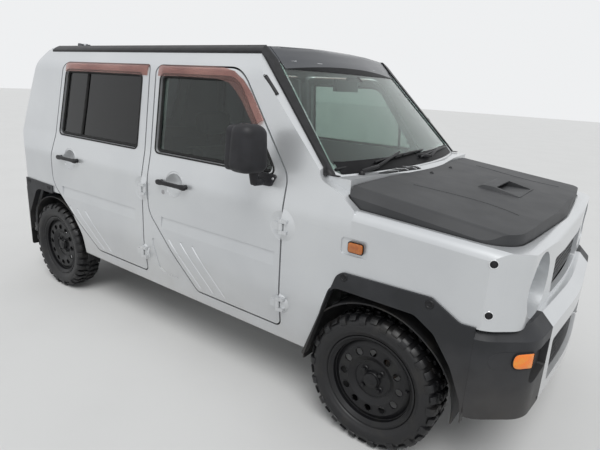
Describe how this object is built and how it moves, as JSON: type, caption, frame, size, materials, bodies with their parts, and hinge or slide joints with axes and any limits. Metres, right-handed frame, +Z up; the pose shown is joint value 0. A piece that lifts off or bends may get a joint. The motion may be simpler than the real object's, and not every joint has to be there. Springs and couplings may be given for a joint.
{
  "type": "kei car",
  "caption": "Small upright car with exposed door hinges, silver panels, dark plastic cladding, matte bonnet and chunky tyres; doors, bonnet, tailgate, wheels and steering move.",
  "frame": {"origin": "on the ground under the middle of the car's length and width", "axes": "+X forward, +Y to the car's left, +Z up"},
  "size_m": [3.3886, 1.8, 1.5835],
  "materials": {
    "paint": "gloss",
    "dark_roof": "satin",
    "matte_bonnet": "matte",
    "cladding": "matte",
    "black_trim": "satin",
    "clear_glass": "clear",
    "dark_glass": "tinted",
    "lamp_glass": "clear",
    "amber": "gloss",
    "red_lamp": "gloss",
    "tyre": "matte",
    "steel_black": "satin",
    "chassis": "rough",
    "pipe": "dull",
    "interior": "matte",
    "seat_cloth": "woven"
  },
  "bodies": {
    "body": {"body_shell": "paint", "front_wings": "paint", "roof_panel": "dark_roof", "windscreen": "clear_glass", "tail_lamps": "red_lamp", "roof_strips": "black_trim", "wheel_liners": "black_trim", "front_panel": "paint", "headlamps": "lamp_glass", "grille": "black_trim", "bumper_centre": "paint", "front_cladding": "cladding", "rear_bumper": "paint", "rear_cladding": "cladding", "indicators": "amber", "front_subframe": "chassis", "rear_axle": "chassis", "engine_block": "chassis", "fuel_tank": "chassis", "exhaust": "pipe", "dashboard": "interior", "front_seat_left": "seat_cloth", "front_seat_right": "seat_cloth", "rear_seat": "seat_cloth", "seat_frames": "interior", "interior_mirror": "black_trim", "wipers": "black_trim"},
    "door_front_left_body": {"door_front_left": "paint", "door_glass_front_left": "clear_glass", "door_fittings_front_left": "black_trim"},
    "door_front_right_body": {"door_front_right": "paint", "door_glass_front_right": "clear_glass", "door_fittings_front_right": "black_trim"},
    "door_rear_left_body": {"door_rear_left": "paint", "door_glass_rear_left": "dark_glass", "door_fittings_rear_left": "black_trim"},
    "door_rear_right_body": {"door_rear_right": "paint", "door_glass_rear_right": "dark_glass", "door_fittings_rear_right": "black_trim"},
    "tailgate_body": {"tailgate": "paint", "tailgate_glass": "dark_glass", "tailgate_handle": "black_trim"},
    "bonnet_body": {"bonnet": "matte_bonnet"},
    "knuckle_left_body": {"knuckle_left": "chassis"},
    "wheel_front_left_body": {"rim_front_left": "steel_black", "tyre_front_left": "tyre"},
    "wheel_rear_left_body": {"rim_rear_left": "steel_black", "tyre_rear_left": "tyre"},
    "knuckle_right_body": {"knuckle_right": "chassis"},
    "wheel_front_right_body": {"rim_front_right": "steel_black", "tyre_front_right": "tyre"},
    "wheel_rear_right_body": {"rim_rear_right": "steel_black", "tyre_rear_right": "tyre"},
    "steering_wheel_body": {"steering_wheel": "interior"}
  },
  "joints": [
    {"name": "door_front_left_hinge", "type": "hinge", "parent": "body", "child": "door_front_left_body", "pos_m": [0.6595, 0.742, 0.7], "axis": [0, 0, -1], "range_deg": [0, 65]},
    {"name": "door_front_right_hinge", "type": "hinge", "parent": "body", "child": "door_front_right_body", "pos_m": [0.6595, -0.742, 0.7], "axis": [0, 0, 1], "range_deg": [0, 65]},
    {"name": "door_rear_left_hinge", "type": "hinge", "parent": "body", "child": "door_rear_left_body", "pos_m": [-0.2795, 0.742, 0.7], "axis": [0, 0, -1], "range_deg": [0, 65]},
    {"name": "door_rear_right_hinge", "type": "hinge", "parent": "body", "child": "door_rear_right_body", "pos_m": [-0.2795, -0.742, 0.7], "axis": [0, 0, 1], "range_deg": [0, 65]},
    {"name": "tailgate_hinge", "type": "hinge", "parent": "body", "child": "tailgate_body", "pos_m": [-1.358, 0, 1.572], "axis": [0, 1, 0], "range_deg": [0, 80]},
    {"name": "bonnet_hinge", "type": "hinge", "parent": "body", "child": "bonnet_body", "pos_m": [0.926, 0, 1.048], "axis": [0, -1, 0], "range_deg": [0, 55]},
    {"name": "steer_left", "type": "hinge", "parent": "body", "child": "knuckle_left_body", "pos_m": [1.1075, 0.59, 0.19], "axis": [0, -0.1734, 0.9849], "range_deg": [-32, 32]},
    {"name": "wheel_front_left_spin", "type": "hinge", "parent": "knuckle_left_body", "child": "wheel_front_left_body", "pos_m": [1.1075, 0.645, 0.28], "axis": [0, 1, 0], "continuous": true},
    {"name": "wheel_rear_left_spin", "type": "hinge", "parent": "body", "child": "wheel_rear_left_body", "pos_m": [-1.2525, 0.645, 0.28], "axis": [0, 1, 0], "continuous": true},
    {"name": "steer_right", "type": "hinge", "parent": "body", "child": "knuckle_right_body", "pos_m": [1.1075, -0.59, 0.19], "axis": [0, 0.1734, 0.9849], "range_deg": [-32, 32]},
    {"name": "wheel_front_right_spin", "type": "hinge", "parent": "knuckle_right_body", "child": "wheel_front_right_body", "pos_m": [1.1075, -0.645, 0.28], "axis": [0, 1, 0], "continuous": true},
    {"name": "wheel_rear_right_spin", "type": "hinge", "parent": "body", "child": "wheel_rear_right_body", "pos_m": [-1.2525, -0.645, 0.28], "axis": [0, 1, 0], "continuous": true},
    {"name": "steering_wheel_turn", "type": "hinge", "parent": "body", "child": "steering_wheel_body", "pos_m": [0.3, -0.335, 0.893], "axis": [-0.9069, 0, 0.4213], "range_deg": [-520, 520]}
  ],
  "couplings": [
    {"joint": "steer_right", "follows": "steer_left", "ratio": 1},
    {"joint": "steering_wheel_turn", "follows": "steer_left", "ratio": 16}
  ]
}
